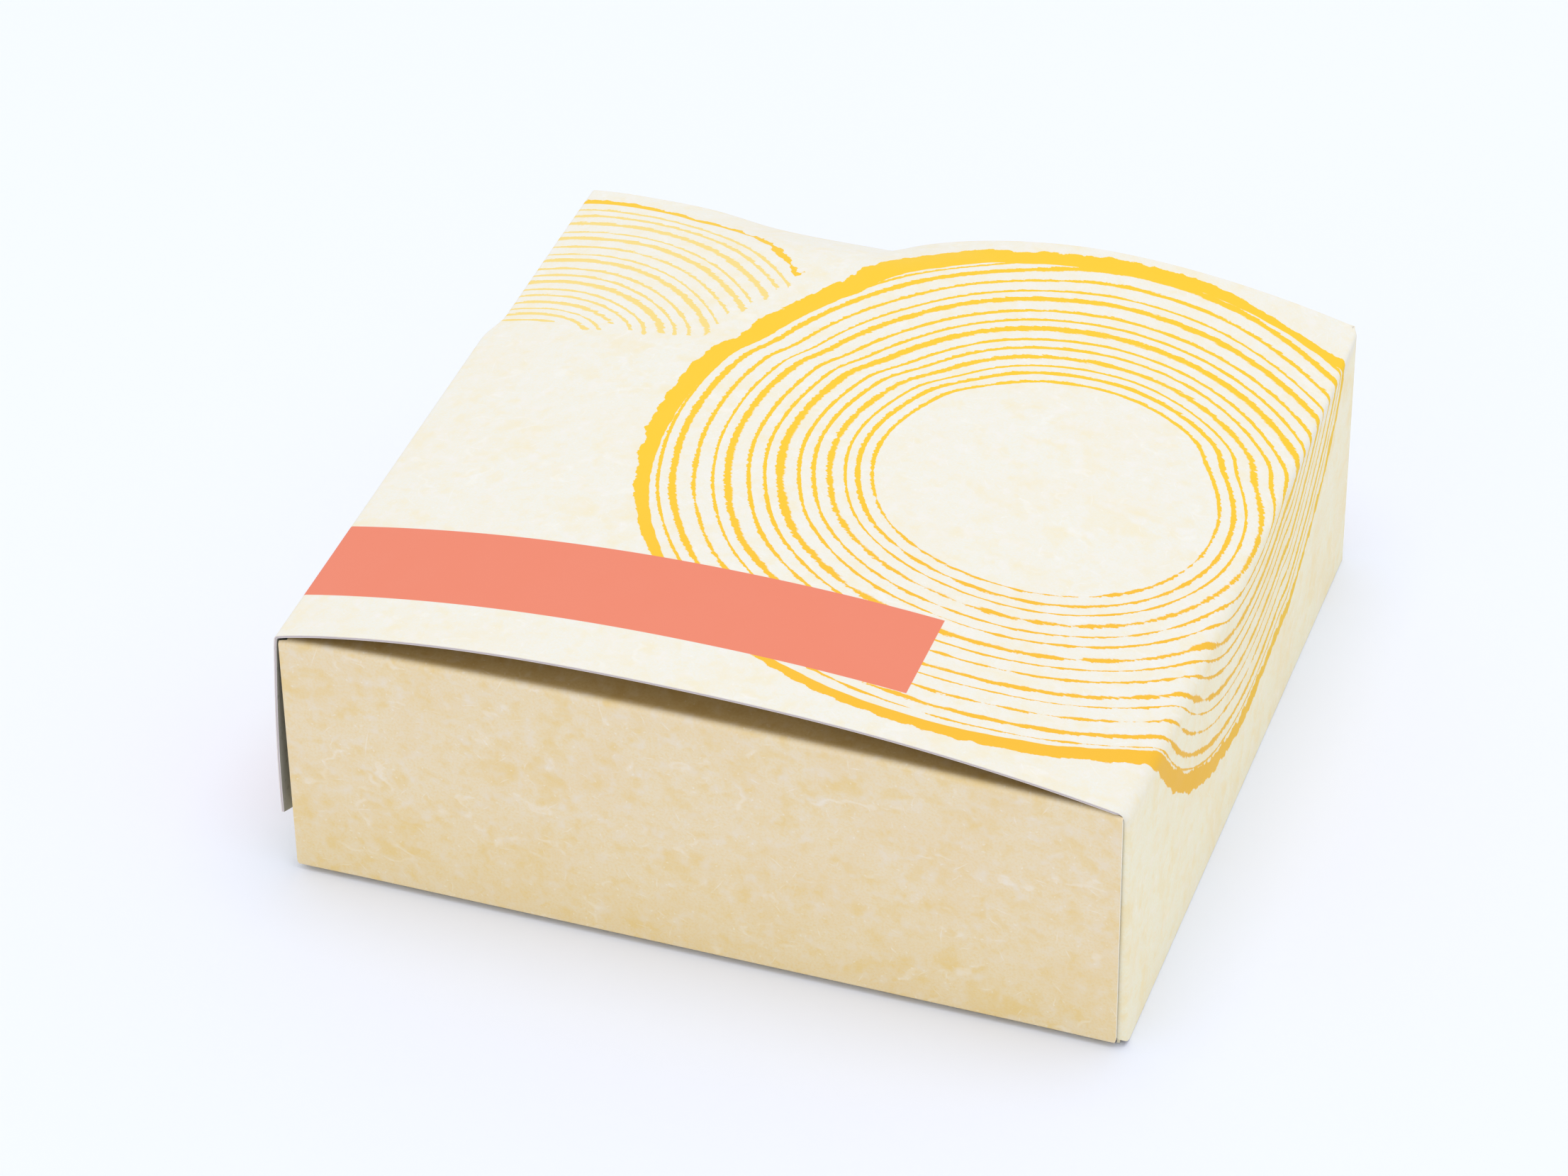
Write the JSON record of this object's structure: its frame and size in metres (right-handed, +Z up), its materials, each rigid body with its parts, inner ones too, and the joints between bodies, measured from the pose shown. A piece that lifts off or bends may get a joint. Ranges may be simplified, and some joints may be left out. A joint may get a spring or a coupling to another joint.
{
  "type": "baumkuchen carton",
  "caption": "Shut low square gift carton of folded printed paperboard for a ring cake, with an arched top, a loose side flap and tucked-in end panels.",
  "frame": {"origin": "middle of the footprint, on the floor under the carton", "axes": "+X to the right along the front panel, +Y from the front panel to the back, +Z up"},
  "size_m": [0.1604, 0.1532, 0.0614],
  "materials": {
    "wrap_board": "matte printed",
    "base_board": "matte printed",
    "inner_board": "matte"
  },
  "bodies": {
    "root": {"lid_wrap": "wrap_board", "base_strip": "base_board", "inner_block": "inner_board"}
  },
  "joints": []
}
